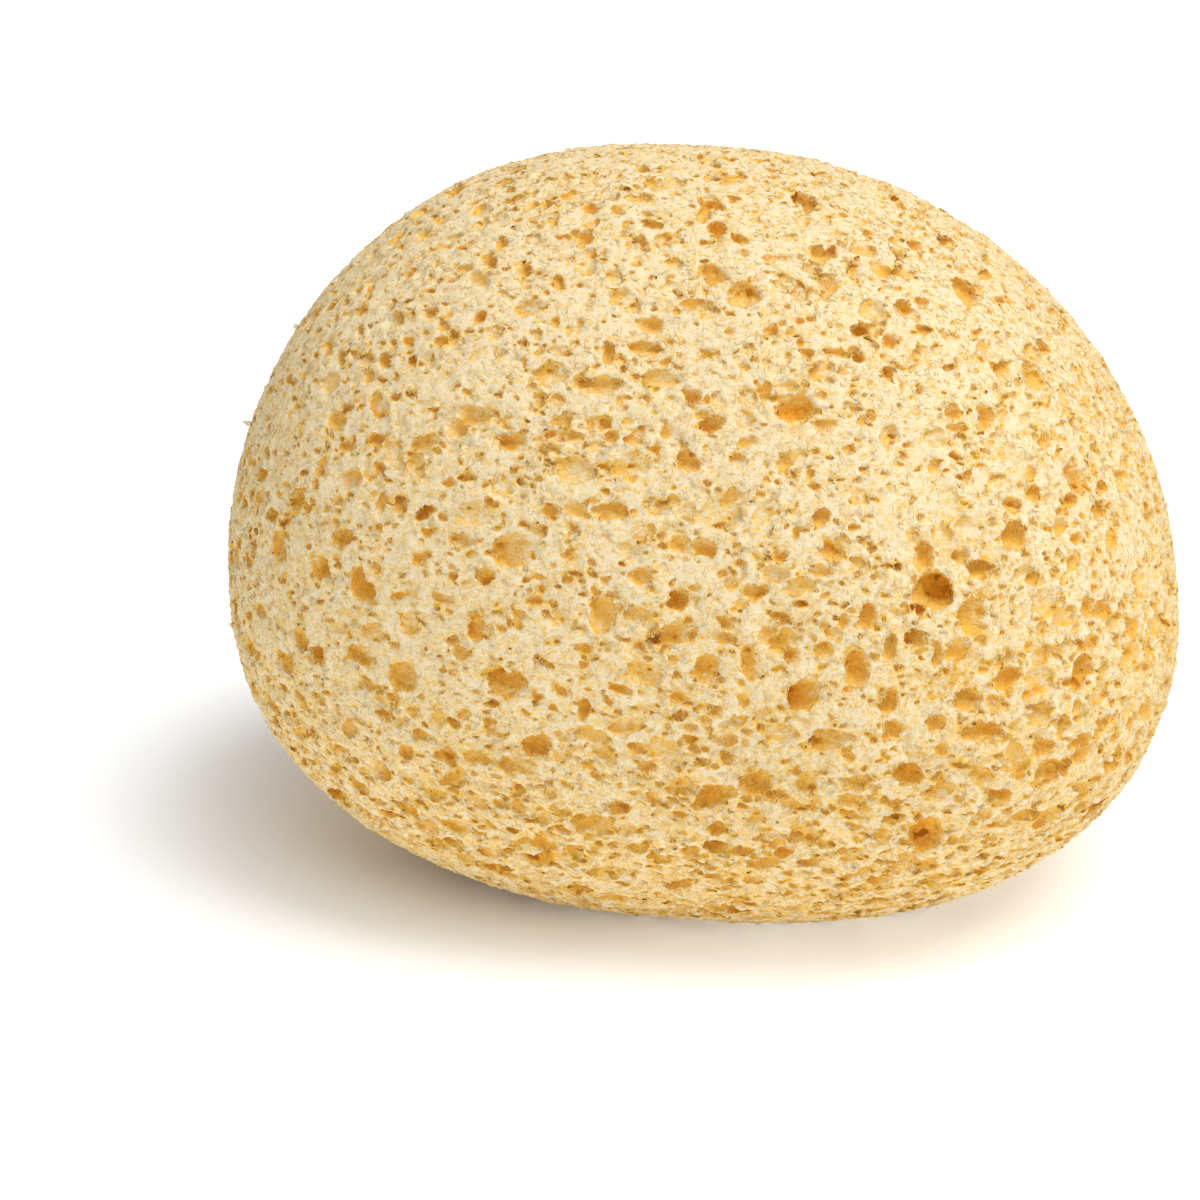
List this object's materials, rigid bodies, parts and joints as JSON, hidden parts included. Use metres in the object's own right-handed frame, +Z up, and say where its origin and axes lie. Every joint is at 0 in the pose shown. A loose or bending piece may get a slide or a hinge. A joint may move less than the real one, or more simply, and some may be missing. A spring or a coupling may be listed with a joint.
{
  "type": "bath sponge",
  "caption": "Rounded pale yellow bath sponge of the sea sponge kind, pitted all over and flat underneath where it rests.",
  "frame": {"origin": "middle of the sponge's outer box, on the floor that it rests on", "axes": "+Z up; X along the sponge's length, with the pictured face towards -Y and its open-pored end towards +X"},
  "size_m": [0.14, 0.104, 0.109],
  "materials": {
    "sponge_fibre": "matte"
  },
  "bodies": {
    "root": {"sponge": "sponge_fibre"}
  },
  "joints": []
}
